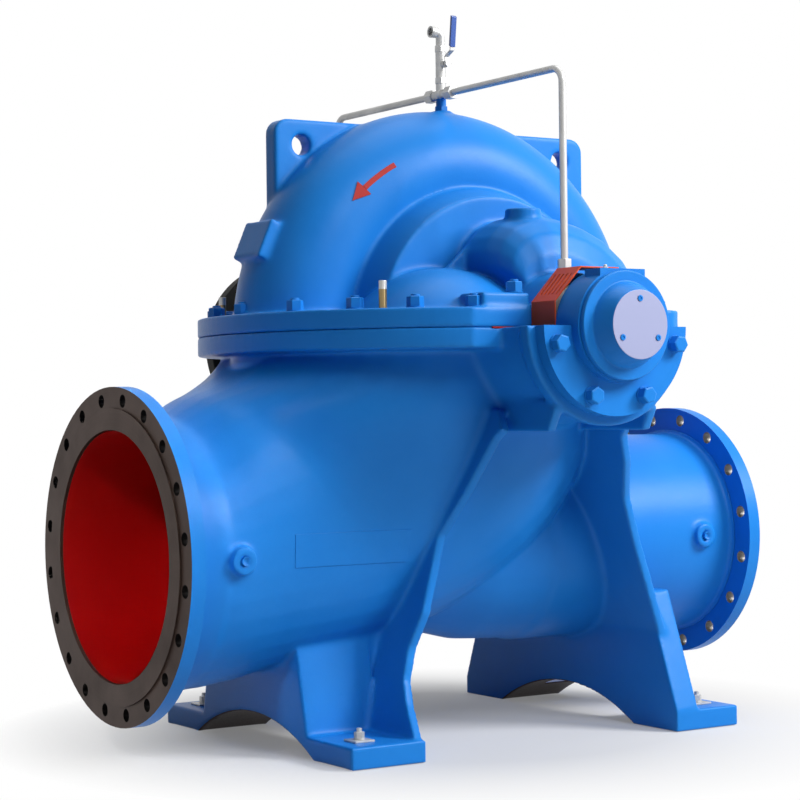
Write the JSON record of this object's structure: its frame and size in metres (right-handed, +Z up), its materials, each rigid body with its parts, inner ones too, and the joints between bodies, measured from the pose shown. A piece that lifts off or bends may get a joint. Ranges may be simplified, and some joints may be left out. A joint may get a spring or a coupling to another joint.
{
  "type": "split case pump",
  "caption": "Horizontal split case pump with side suction and discharge flanges, cast feet, shaft bearings at both ends, flush pipes and a vent valve.",
  "frame": {"origin": "on the floor at the centre of the foundation bolts, under the shaft", "axes": "+X from the suction side to the discharge side, +Y along the shaft towards the drive end, +Z up"},
  "size_m": [1.45, 1.451, 1.5298],
  "materials": {
    "casing_paint": "satin blue enamel",
    "guard_paint": "satin orange enamel",
    "bare_steel": "machined",
    "stainless": "brushed",
    "plate": "fine satin",
    "coupling": "black paint",
    "grip": "vinyl sleeve"
  },
  "bodies": {
    "casing": {"lower_casing": "casing_paint", "upper_casing": "casing_paint", "dowel_pins": "bare_steel", "bearing_housing_front": "casing_paint", "bearing_housing_rear": "casing_paint", "bearing_cover_front": "casing_paint", "bearing_cover_rear": "casing_paint", "end_plate": "plate", "gland_front": "bare_steel", "gland_rear": "bare_steel", "seal_guard_front": "guard_paint", "seal_guard_rear": "guard_paint", "vent_nipple": "casing_paint", "pipe_cross": "stainless", "ball_valve": "stainless", "vent_elbow": "stainless", "flush_pipe_front": "stainless", "flush_pipe_rear": "stainless", "cross_nuts": "stainless", "seal_nuts": "stainless", "suction_gauge_plug": "casing_paint", "discharge_gauge_plug": "casing_paint"},
    "rotor": {"shaft": "bare_steel", "coupling_hub": "coupling"},
    "lever": {"valve_lever": "stainless", "lever_grip": "grip"}
  },
  "joints": [
    {"name": "rotor_spin", "type": "hinge", "parent": "casing", "child": "rotor", "pos_m": [0, 0, 0.84], "axis": [0, 1, 0], "continuous": true},
    {"name": "valve_turn", "type": "hinge", "parent": "casing", "child": "lever", "pos_m": [0, -0.022, 1.43], "axis": [0, 1, 0], "range_deg": [0, 90]}
  ]
}
